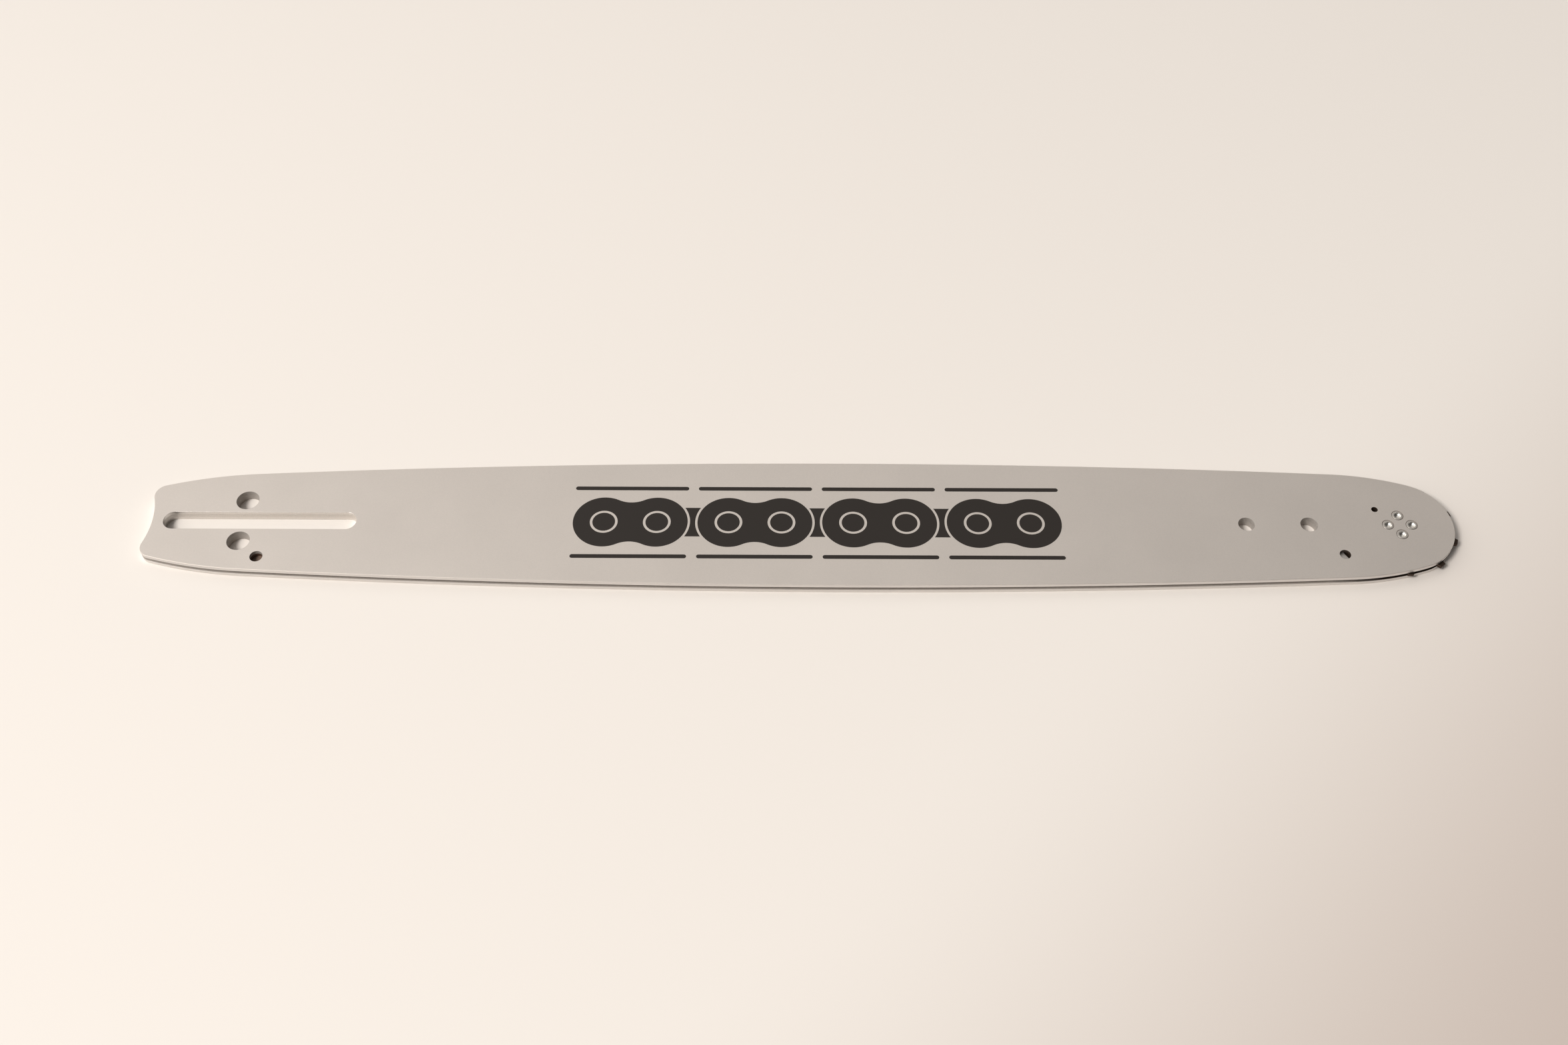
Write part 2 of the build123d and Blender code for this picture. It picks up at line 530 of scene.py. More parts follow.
def spread(
    material: bpy.types.Material, source: bpy.types.NodeSocket, middle: float, depth: float
) -> bpy.types.NodeSocket:
    """Spreads a value from 0 to 1 evenly round a middle value.

    Args:
        material: Material of the source.
        source: Socket that gives the value.
        middle: Middle of the new range.
        depth: Half of its width.

    Returns:
        The socket that gives the new value.
    """
    nodes, links = material.node_tree.nodes, material.node_tree.links
    wider = nodes.new("ShaderNodeMapRange")
    wider.inputs["To Min"].default_value = middle - depth
    wider.inputs["To Max"].default_value = middle + depth
    links.new(source, wider.inputs["Value"])
    return wider.outputs["Result"]


@dataclass(frozen=True)
class Finish:
    """Plain finish with a fine grain and soft clouds; sizes in mm."""

    name: str
    colour: Colour
    roughness: float
    roughness_spread: float = 0.05
    grain: float = 0.5
    grain_depth: float = 0.05
    grain_detail: float = 4.0
    cloud: float = 30.0
    cloud_depth: float = 0.05
    cloud_detail: float = 3.0
    bump: float = 0.004
    metallic: float = 1.0

    def material(self) -> bpy.types.Material:
        """Builds the finish.

        Returns:
            Its material, patterned on Object coordinates.
        """
        material = bpy.data.materials.new(self.name)
        material.use_nodes = True
        nodes, links = material.node_tree.nodes, material.node_tree.links
        shader = nodes["Principled BSDF"]
        shader.inputs["Metallic"].default_value = self.metallic
        grain = noise(material, self.grain, self.grain_detail)
        cloud = noise(material, self.cloud, self.cloud_detail)
        shade = nodes.new("ShaderNodeMath")
        shade.operation = "MULTIPLY"
        links.new(spread(material, grain, 1.0, self.grain_depth), shade.inputs[0])
        links.new(spread(material, cloud, 1.0, self.cloud_depth), shade.inputs[1])
        tint = nodes.new("ShaderNodeVectorMath")
        tint.operation = "SCALE"
        tint.inputs[0].default_value = self.colour
        links.new(shade.outputs["Value"], tint.inputs["Scale"])
        links.new(tint.outputs["Vector"], shader.inputs["Base Color"])
        rough = spread(material, grain, self.roughness, self.roughness_spread)
        links.new(rough, shader.inputs["Roughness"])
        bump = nodes.new("ShaderNodeBump")
        bump.inputs["Strength"].default_value = 1.0
        bump.inputs["Distance"].default_value = self.bump * MM
        links.new(grain, bump.inputs["Height"])
        links.new(bump.outputs["Normal"], shader.inputs["Normal"])
        return material


@dataclass(frozen=True)
class Film:
    """Dark film on steel round a point, full within its reach and faded out beyond it; sizes in mm. Used for real
    grease, and for oil with painted shade.
    """

    centre: Vector
    colour: Colour
    reach: float
    fade: float


@dataclass(frozen=True)
class GreasedAndShadedFinish(Finish):
    """Steel under films of grease, and of oil with painted shade."""

    films: tuple[Film, ...] = ()

    def material(self) -> bpy.types.Material:
        """Builds the finish with its films.

        Returns:
            Its material, patterned on Object coordinates.
        """
        material = super().material()
        nodes, links = material.node_tree.nodes, material.node_tree.links
        colour = nodes["Principled BSDF"].inputs["Base Color"]
        place = nodes.new("ShaderNodeTexCoord")
        for film in self.films:
            clean = colour.links[0].from_socket
            away = nodes.new("ShaderNodeVectorMath")
            away.operation = "DISTANCE"
            away.inputs[1].default_value = film.centre * MM
            links.new(place.outputs["Object"], away.inputs[0])
            cover = nodes.new("ShaderNodeMapRange")
            cover.inputs["From Min"].default_value = film.reach * MM
            cover.inputs["From Max"].default_value = (film.reach + film.fade) * MM
            cover.inputs["To Min"].default_value = 1.0
            cover.inputs["To Max"].default_value = 0.0
            links.new(away.outputs["Value"], cover.inputs["Value"])
            coat = nodes.new("ShaderNodeMixRGB")
            coat.inputs["Color2"].default_value = (*film.colour, 1)
            links.new(cover.outputs["Result"], coat.inputs["Fac"])
            links.new(clean, coat.inputs["Color1"])
            links.new(coat.outputs["Color"], colour)
        return material


@dataclass(frozen=True)
class FlushFinish(Finish):
    """Bright steel of rivets, ground flush with the bar's faces at both ends to the skin's depth in mm."""

    ground_colour: Colour = (0.74, 0.69, 0.64)
    ground_roughness: float = 0.45
    skin: float = 0.04

    def material(self) -> bpy.types.Material:
        """Builds the finish with its ground ends.

        Returns:
            Its material, patterned on Object coordinates.
        """
        material = super().material()
        nodes, links = material.node_tree.nodes, material.node_tree.links
        low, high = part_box("nose_rivets")
        place, height = nodes.new("ShaderNodeTexCoord"), nodes.new("ShaderNodeSeparateXYZ")
        links.new(place.outputs["Object"], height.inputs["Vector"])
        inside = nodes.new("ShaderNodeMath")
        inside.operation = "COMPARE"
        inside.inputs[1].default_value = (low.z + high.z) / 2
        inside.inputs[2].default_value = (high.z - low.z) / 2 - self.skin * MM
        links.new(height.outputs["Z"], inside.inputs[0])
        ground = {"Base Color": self.ground_colour, "Roughness": (self.ground_roughness,) * 3}
        for socket, value in ground.items():
            target = nodes["Principled BSDF"].inputs[socket]
            bright = target.links[0].from_socket
            choice = nodes.new("ShaderNodeMixRGB")
            choice.inputs["Color1"].default_value = (*value, 1)
            links.new(inside.outputs["Value"], choice.inputs["Fac"])
            links.new(bright, choice.inputs["Color2"])
            links.new(choice.outputs["Color"], target)
        return material


GREASE: Colour = (0.035, 0.022, 0.015)
# Partly painted shade: brown oil under the inlets, darkened to stand in for the shade inside them.
OIL_AND_SHADE: Colour = (0.22, 0.155, 0.12)
SIDE_FACE = Finish("ground_side_face", (0.745, 0.686, 0.637), 0.54, metallic=0.8)
RAIL_EDGE = Finish("ground_rail_edge", (0.75, 0.727, 0.708), 0.45, grain=0.3)
# Painted shade: the round holes' walls are a darker, duller copy of the slot wall's steel, to deepen the shade
# inside the holes.
BORE_WALL_PAINTED_SHADE = Finish(
    "bore_wall_painted_shade", (0.41, 0.375, 0.345), 0.5, grain=0.3, grain_depth=0.15, metallic=0.1
)
SLOT_WALL = Finish("milled_slot_wall", (0.7, 0.67, 0.64), 0.32, grain=0.3, grain_depth=0.15)
# Painted shade: a dark colour on the rivet seats' cones, for the shade in the gap round each rivet head.
SEAT_PAINTED_SHADE = Finish("painted_shade_in_rivet_seats", (0.24, 0.2, 0.168), 0.6, grain_depth=0.3, metallic=0.3)
# Partly painted shade: dark tooth steel, darkened further to near black for the shadow the teeth stand in at the
# nose.
TOOTH_STEEL_AND_SHADE = Finish("dark_tooth_and_painted_shade", (0.075, 0.052, 0.04), 0.5, grain_depth=0.25)
RACE_STEEL = Finish("greased_race", (0.5, 0.48, 0.45), 0.25, grain=0.3)
INK = Finish("matt_black_ink", (0.014, 0.009, 0.006), 0.55, grain=0.4, grain_depth=0.2, metallic=0.0)
RIVET_STEEL = FlushFinish("pressed_rivet", (0.8, 0.775, 0.735), 0.3, grain=0.3)
INNER_SIDE = GreasedAndShadedFinish(
    "inner_side_with_oil_and_shade",
    (0.5, 0.45, 0.41),
    0.5,
    grain_depth=0.15,
    metallic=0.3,
    films=(Film(AXLE, GREASE, 26.0, 14.0),),
)
CORE_STEEL = GreasedAndShadedFinish(
    "mill_core", (0.7, 0.665, 0.63), 0.5, grain_depth=0.12, films=(Film(AXLE, GREASE, 22.0, 5.0),)
)


@dataclass
class BarPlan:
    """Plan of the bar in mm: the chain of arcs round its edge, and its openings.

    Its box, axle, bores and rollers come from the frame, and its other sizes are fields.
    """

    nose_shoulder: float = 3.2
    nose_blend_radius: float = 110.0
    widest_from_middle: float = 16.2
    tail_taper_radius: float = 165.0
    tail_corner_radius: float = 4.9
    tail_corner_spacing: float = 25.2
    tail_hollow: float = 1.9
    slot_length: float = 75.0
    slot_width: float = 8.2
    oil_hole_radius: float = 2.45
    oil_hole_offset: float = 17.3
    oil_hole_from_tail: float = 45.5
    oil_and_shade_reach: float = 4.0
    oil_and_shade_fade: float = 1.5
    grease_hole_radius: float = 1.2
    grease_hole_angle: float = 138.0
    peep_hole_radius: float = 2.1
    peep_hole_angle: float = 211.0
    peep_hole_from_axle: float = 28.0
    cavity_radius: float = 27.0
    running_clearance: float = 0.05

    def __post_init__(self) -> None:
        """Reads the bar's box, axle, bores and rollers from the frame."""
        low, high = (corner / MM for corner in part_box("upper_side_plate"))
        core_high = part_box("core_plate")[1] / MM
        self.tail_x, self.half_width = low.x, high.y
        self.top, self.joint_top = high.z, low.z
        self.groove_depth = high.y - core_high.y
        self.axle = AXLE.xy
        self.nose_radius = high.x - self.axle.x
        mounts = {mount["name"]: mount for mount in frame["record"]["mounts"]}
        self.bores = [
            (Vector(mount["pos_m"]).xy / MM, mount["dims"]["r_mm"])
            for mount in mounts.values()
            if mount["kind"] == "bore"
        ]
        self.slot_centre = Vector(mounts["stud_slot"]["pos_m"]).xy / MM
        roller_low, roller_high = (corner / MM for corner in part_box("bearing_roller_01"))
        self.roller_radius = (roller_high.x - roller_low.x) / 2
        self.roller_orbit = ((roller_low + roller_high).xy / 2 - self.axle).length
        self.sprocket_bore = self.roller_orbit + self.roller_radius + self.running_clearance

    def edge(self) -> Plan:
        """Edge of a side plate.

        Returns:
            Its points, anticlockwise from the tip of the nose, each with the way into the metal.
        """
        middle = Vector((self.axle.x + self.nose_radius + self.tail_x, 0)) / 2
        widest = Vector((middle.x + self.widest_from_middle, self.half_width))
        drop = self.half_width - self.nose_radius - self.nose_shoulder
        side_radius = ((self.axle.x - widest.x) ** 2 + drop**2) / (2 * drop)
        side = widest - Vector((0, side_radius))
        blend_radius, taper_radius = self.nose_blend_radius, self.tail_taper_radius
        corner_radius = self.tail_corner_radius
        blend = common_centre(
            side, side_radius - blend_radius, self.axle, blend_radius - self.nose_radius, 1
        )
        corner = Vector((self.tail_x + corner_radius, self.tail_corner_spacing / 2))
        taper = common_centre(side, side_radius - taper_radius, corner, taper_radius - corner_radius, -1)
        floor = Vector((self.tail_x + self.tail_hollow, 0))
        hollow_radius = (corner.y**2 + self.tail_hollow**2) / (2 * self.tail_hollow) - corner_radius
        hollow = floor - Vector((hollow_radius, 0))
        tip = self.axle + Vector((self.nose_radius, 0))
        touches = [
            tip,
            rim_point(blend, blend_radius, self.axle),
            rim_point(side, side_radius, blend),
            rim_point(side, side_radius, taper),
            rim_point(taper, taper_radius, corner),
            rim_point(corner, corner_radius, hollow),
            floor,
        ]
        centres = (self.axle, blend, side, taper, corner, hollow)
        upper: Plan = []
        for centre, start, end in zip(centres, touches, touches[1:]):
            upper += arc_plan(centre, start, end, centre is not hollow)
        return [*upper, (floor, Vector((1, 0))), *mirrored(upper[1:], Vector((1, -1)))]

    def slot(self) -> Plan:
        """Plan of the stud slot, which goes through all three laminations."""
        return slot_plan(self.slot_centre, self.slot_length, self.slot_width, True)

    def bore_holes(self) -> list[Plan]:
        """Plans of the round holes that go through all three laminations."""
        return [circle_plan(centre, radius, True) for centre, radius in self.bores]

    def oil_inlets(self) -> list[Vector]:
        """Centres of the oil inlets: that of the upper side plate, then that of the lower one."""
        inlet_x = self.tail_x + self.oil_hole_from_tail
        return [Vector((inlet_x, side * self.oil_hole_offset)) for side in (-1, 1)]

    def oil_hole(self) -> Plan:
        """Plan of the oil inlet of the upper side plate."""
        return circle_plan(self.oil_inlets()[0], self.oil_hole_radius, True)

    def nose_holes(self) -> list[Plan]:
        """Plans of the two small holes in the nose of the upper side plate.

        Returns:
            The peep hole at the end of the sprocket's cavity, and the grease hole over the outer race.
        """
        peep = self.axle + polar(self.peep_hole_from_axle, self.peep_hole_angle)
        grease = self.axle + polar(self.sprocket_bore, self.grease_hole_angle)
        holes = ((peep, self.peep_hole_radius), (grease, self.grease_hole_radius))
        return [circle_plan(centre, radius, True) for centre, radius in holes]

    def with_oil_and_shade(self, finish: GreasedAndShadedFinish) -> GreasedAndShadedFinish:
        """Adds the oil, with painted shade, under the two inlets to a finish.

        Args:
            finish: Finish of a piece that the oil wets and the painted shade darkens.

        Returns:
            The finish with its own films and the two new ones.
        """
        reach, fade, height = self.oil_and_shade_reach, self.oil_and_shade_fade, self.top / 2
        films = [Film(Vector((*inlet, height)), OIL_AND_SHADE, reach, fade) for inlet in self.oil_inlets()]
        return replace(finish, films=(*finish.films, *films))


def begin_tree(name: str, inputs: dict[str, str]) -> tuple[bpy.types.NodeTree, bpy.types.Node]:
    """Starts geometry nodes that set copies of the mesh that they are given.

    Args:
        name: Name of the tree.
        inputs: Names and socket types of its inputs, apart from the mesh and the copies' material.

    Returns:
        The tree, and the node that gives its inputs.
    """
    tree = bpy.data.node_groups.new(name, "GeometryNodeTree")
    kinds = {"Geometry": "NodeSocketGeometry", **inputs, "Material": "NodeSocketMaterial"}
    for label, kind in kinds.items():
        tree.interface.new_socket(label, in_out="INPUT", socket_type=kind)
    tree.interface.new_socket("Geometry", in_out="OUTPUT", socket_type="NodeSocketGeometry")
    return tree, tree.nodes.new("NodeGroupInput")


def end_tree(
    tree: bpy.types.NodeTree, given: bpy.types.Node, spots: bpy.types.NodeSocket
) -> bpy.types.Node:
    """Ends geometry nodes with a real copy at each point, in the material given.

    Args:
        tree: The tree.
        given: The node that gives its inputs.
        spots: Socket that gives the points.

    Returns:
        The node that sets the copies.
    """
    nodes, links = tree.nodes, tree.links
    copies = nodes.new("GeometryNodeInstanceOnPoints")
    links.new(spots, copies.inputs["Points"])
    links.new(given.outputs["Geometry"], copies.inputs["Instance"])
    real, coat = nodes.new("GeometryNodeRealizeInstances"), nodes.new("GeometryNodeSetMaterial")
    links.new(copies.outputs["Instances"], real.inputs["Geometry"])
    links.new(real.outputs["Geometry"], coat.inputs["Geometry"])
    links.new(given.outputs["Material"], coat.inputs["Material"])
    result = nodes.new("NodeGroupOutput")
    links.new(coat.outputs["Geometry"], result.inputs["Geometry"])
    return copies


def ring_tree(name: str) -> bpy.types.NodeTree:
    """Geometry nodes that set copies of a mesh evenly round a centre.

    Args:
        name: Name of the tree.

    Returns:
        The tree, with inputs Count, Radius, Centre, First Angle and Material.
    """
    inputs = {
        "Count": "NodeSocketInt",
        "Radius": "NodeSocketFloat",
        "Centre": "NodeSocketVector",
        "First Angle": "NodeSocketFloat",
    }
    tree, given = begin_tree(name, inputs)
    nodes, links = tree.nodes, tree.links
    index = nodes.new("GeometryNodeInputIndex")
    share, turn = nodes.new("ShaderNodeMath"), nodes.new("ShaderNodeMath")
    share.operation, turn.operation = "DIVIDE", "MULTIPLY_ADD"
    turn.inputs[1].default_value = FULL_TURN
    links.new(index.outputs["Index"], share.inputs[0])
    links.new(given.outputs["Count"], share.inputs[1])
    links.new(share.outputs["Value"], turn.inputs[0])
    links.new(given.outputs["First Angle"], turn.inputs[2])
    facing = nodes.new("ShaderNodeCombineXYZ")
    links.new(turn.outputs["Value"], facing.inputs["Z"])
    arm = nodes.new("ShaderNodeCombineXYZ")
    links.new(given.outputs["Radius"], arm.inputs["X"])
    swing = nodes.new("ShaderNodeVectorRotate")
    swing.rotation_type = "Z_AXIS"
    links.new(arm.outputs["Vector"], swing.inputs["Vector"])
    links.new(turn.outputs["Value"], swing.inputs["Angle"])
    place = nodes.new("ShaderNodeVectorMath")
    links.new(swing.outputs["Vector"], place.inputs[0])
    links.new(given.outputs["Centre"], place.inputs[1])
    spots = nodes.new("GeometryNodePoints")
    links.new(given.outputs["Count"], spots.inputs["Count"])
    links.new(place.outputs["Vector"], spots.inputs["Position"])
    copies = end_tree(tree, given, spots.outputs["Geometry"])
    links.new(facing.outputs["Vector"], copies.inputs["Rotation"])
    return tree


def row_tree(name: str) -> bpy.types.NodeTree:
    """Geometry nodes that set copies of a mesh in a row along X.

    Args:
        name: Name of the tree.

    Returns:
        The tree, with inputs Count, Step, First and Material.
    """
    inputs = {"Count": "NodeSocketInt", "Step": "NodeSocketFloat", "First": "NodeSocketVector"}
    tree, given = begin_tree(name, inputs)
    nodes, links = tree.nodes, tree.links
    offset = nodes.new("ShaderNodeCombineXYZ")
    links.new(given.outputs["Step"], offset.inputs["X"])
    spots = nodes.new("GeometryNodeMeshLine")
    links.new(given.outputs["Count"], spots.inputs["Count"])
    links.new(given.outputs["First"], spots.inputs["Start Location"])
    links.new(offset.outputs["Vector"], spots.inputs["Offset"])
    end_tree(tree, given, spots.outputs["Mesh"])
    return tree


def run_tree(piece: bpy.types.Object, tree: bpy.types.NodeTree, inputs: dict[str, object]) -> None:
    """Runs a geometry node tree on a piece and keeps its result as a plain mesh.

    Args:
        piece: Piece whose mesh the tree takes, and which holds the result.
        tree: The tree.
        inputs: Values of its named inputs.
    """
    modifier = piece.modifiers.new(tree.name, "NODES")
    modifier.node_group = tree
    for socket in tree.interface.items_tree:
        if socket.in_out == "INPUT" and socket.name in inputs:
            modifier[socket.identifier] = inputs[socket.name]
    evaluated = piece.evaluated_get(bpy.context.evaluated_depsgraph_get())
    mesh = bpy.data.meshes.new_from_object(evaluated)
    piece.modifiers.clear()
    piece.data = mesh


def take_place(piece: bpy.types.Object, body: str, nodes: Iterable[str] = ()) -> None:
    """Fixes a finished piece to its body and says which solids it stands for.

    Args:
        piece: The piece.
        body: Body that it rides on.
        nodes: Solids that it stands for.
    """
    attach(piece, body)
    names = list(nodes)
    if names:
        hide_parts(*names)
    LOG.info("%s: %d faces on %s, for %s", piece.name, len(piece.data.polygons), body, names or "no solid")


@dataclass
class NoseRivets:
    """The dished rivets that clamp the nose, and the countersunk seats that they fill; sizes in mm."""

    plan: BarPlan
    count: int = 4
    head_radius: float = 2.25
    shank_radius: float = 1.37
    clearance: float = 0.03
    edge_round: float = 0.1
    seat_round: float = 0.05
    dish_radius: float = 1.35
    dish_depth: float = 0.8
    steps: int = 10
    cone_angle: float = 45.0
    smooth_angle: float = 50.0

    def __post_init__(self) -> None:
        """Reads the circle that the rivets stand on from the frame."""
        low, high = (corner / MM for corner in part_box("nose_rivets"))
        self.circle_radius = (high.x - low.x) / 2 - self.head_radius

    def seats(self) -> list[Rim]:
        """Rims of the seats in the upper side plate.

        Returns:
            One rim for each rivet.
        """
        shank = self.shank_radius + self.clearance
        flare = self.head_radius - self.shank_radius
        top, bottom = self.plan.top, self.plan.joint_top
        wall = countersunk_wall(top, bottom, flare, self.seat_round, self.cone_angle)
        rims = []
        for number in range(self.count):
            centre = self.plan.axle + polar(self.circle_radius, 360 * number / self.count)
            rims.append(Rim(circle_plan(centre, shank, True), wall, Surface.SEAT))
        return rims

    def profile(self) -> list[tuple[float, float]]:
        """Section of one rivet.

        Returns:
            Radius and height of its points, from the dish in its upper head to the one in its lower head.
        """
        top = self.plan.top
        sphere = (self.dish_radius**2 + self.dish_depth**2) / (2 * self.dish_depth)
        rim_angle = math.asin(self.dish_radius / sphere)
        half = []
        for step in range(self.steps + 1):
            angle = rim_angle * step / self.steps
            half.append((sphere * math.sin(angle), top - self.dish_depth + sphere * (1 - math.cos(angle))))
        half[0] = (0, top - self.dish_depth)
        cone = math.radians(self.cone_angle)
        crown = self.head_radius - self.edge_round / math.tan(cone / 2)
        for step in range(self.steps + 1):
            angle = math.radians(90) - (math.pi - cone) * step / self.steps
            rise = self.edge_round * (1 - math.sin(angle))
            half.append((crown + self.edge_round * math.cos(angle), top - rise))
        half.append((self.shank_radius, top - (self.head_radius - self.shank_radius) / math.tan(cone)))
        return half + [(radius, top - height) for radius, height in reversed(half)]

    def build(self, tree: bpy.types.NodeTree) -> None:
        """Builds the rivets and dresses them.

        Args:
            tree: Geometry nodes that set copies round a centre.
        """
        piece = turned_piece("nose_rivet_set", self.profile(), self.smooth_angle)
        run_tree(piece, tree, {
            "Count": self.count,
            "Radius": self.circle_radius * MM,
            "Centre": (*self.plan.axle * MM, 0.0),
            "First Angle": 0.0,
            "Material": RIVET_STEEL.material(),
        })
        take_place(piece, "bar", ["nose_rivets"])


@dataclass
class SidePlates:
    """The two ground side plates: one stamping, used as it is on top and turned over below; sizes in mm."""

    plan: BarPlan
    rivets: NoseRivets
    rail_chamfer: float = 0.12
    rail_blend: float = 0.03
    groove_round: float = 0.04
    hole_round: float = 0.06
    joint_round: float = 0.1

    def rims(self) -> list[Rim]:
        """Rims of the upper plate.

        Returns:
            The outer rim first, then those of its openings.
        """
        plan = self.plan
        edge_wall = chamfered_wall(
            plan.top, plan.joint_top, self.rail_chamfer, self.groove_round, self.rail_blend
        )
        hole_wall = rounded_wall(plan.top, plan.joint_top, self.hole_round, self.joint_round)
        dry_holes = [*plan.bore_holes(), plan.oil_hole()]
        return [
            Rim(plan.edge(), edge_wall, Surface.RAIL, CHAMFER_STRIPS),
            Rim(plan.slot(), hole_wall, Surface.SLOT),
            *(Rim(hole, hole_wall, Surface.BORE) for hole in dry_holes),
            *(Rim(hole, hole_wall, Surface.INNER) for hole in plan.nose_holes()),
            *self.rivets.seats(),
        ]

    def build(self) -> None:
        """Builds both plates and dresses them."""
        finishes = {
            Surface.FACE: SIDE_FACE,
            Surface.RAIL: RAIL_EDGE,
            Surface.BORE: BORE_WALL_PAINTED_SHADE,
            Surface.INNER: self.plan.with_oil_and_shade(INNER_SIDE),
            Surface.SEAT: SEAT_PAINTED_SHADE,
            Surface.SLOT: SLOT_WALL,
        }
        materials = [finishes[surface].material() for surface in Surface]
        upper = flat_piece("upper_plate", self.rims(), materials)
        lower = flat_piece("lower_plate", self.rims(), materials)
        turn_over = Matrix.Translation((0, 0, self.plan.top * MM)) @ Matrix.Rotation(math.pi, 4, "X")
        lower.data.transform(turn_over)
        lower.data.update()
        take_place(upper, "bar", ["upper_side_plate"])
        take_place(lower, "bar", ["lower_side_plate"])


@dataclass
class CorePlate:
    """The shorter middle lamination, which is the floor of the chain groove; sizes in mm."""

    plan: BarPlan
    tail_reach: float = 13.0
    wall_reach: float = 0.1
    wall_tilt: float = 0.5
    smooth_angle: float = 30.0

    def metal(self) -> tuple[list[list[Vector]], Callable[[set[int]], bool]]:
        """Plan of the core.

        Returns:
            Closed loops, and a test that says from the loops that a place is in whether it is metal.
        """
        plan = self.plan
        edge = plan.edge()
        inner = [point + into * plan.groove_depth for point, into in edge]
        body = [point for point in inner if point.x > plan.tail_x + self.tail_reach]
        half = plan.tail_corner_spacing / 2 + plan.tail_corner_radius - plan.groove_depth
        # The tongue starts past the tail, where the edge trims it, and ends well inside the body.
        corners = ((-1, -1), (2, -1), (2, 1), (-1, 1))
        tongue = [Vector((plan.tail_x + x * self.tail_reach, y * half)) for x, y in corners]
        cavity = circle_plan(plan.axle, plan.cavity_radius, True)
        cuts = [plan.slot(), *plan.bore_holes(), cavity, *self.oil_ways()]
        loops = [body, tongue, *([point for point, _ in loop] for loop in (edge, *cuts))]
        in_body, in_tongue, in_edge, *in_cuts = range(len(loops))

        def is_metal(inside: set[int]) -> bool:
            """True in the body or the trimmed tongue, outside all cuts."""
            is_in = in_body in inside or {in_tongue, in_edge} <= inside
            return is_in and inside.isdisjoint(in_cuts)

        return loops, is_metal

    def oil_ways(self) -> list[Plan]:
        """Plans of the two notches that lead oil from the inlets to the groove.

        Returns:
            Slots across the bar, each round its inlet and open to the groove.
        """
        plan = self.plan
        width = 2 * plan.oil_hole_radius
        way = slot_plan(Vector((plan.groove_depth / 2, 0)), plan.groove_depth + width, width, True)
        ways = []
        for inlet in plan.oil_inlets():
            turn = Matrix.Rotation(math.radians(math.copysign(90, inlet.y)), 2)
            ways.append([(inlet + turn @ point, turn @ into) for point, into in way])
        return ways

    def in_bore(self, polygon: bpy.types.MeshPolygon) -> bool:
        """Tells the faces of the bores' walls from the rest.

        Args:
            polygon: A face of the core.

        Returns:
            True if the face is part of the wall of a bore.
        """
        place, reach = polygon.center.xy / MM, self.wall_reach
        is_near = any((place - centre).length < radius + reach for centre, radius in self.plan.bores)
        return is_near and abs(polygon.normal.z) < self.wall_tilt

    def build(self) -> None:
        """Builds the core from its plan and dresses it."""
        low, high = (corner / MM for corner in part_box("core_plate"))
        points, triangles, _ = solid_triangles(*self.metal())
        piece = extruded_piece("core", points, triangles, (low.z, high.z), self.smooth_angle)
        for finish in (self.plan.with_oil_and_shade(CORE_STEEL), BORE_WALL_PAINTED_SHADE):
            piece.data.materials.append(finish.material())
        for polygon in piece.data.polygons:
            polygon.material_index = int(self.in_bore(polygon))
        take_place(piece, "bar", ["core_plate"])


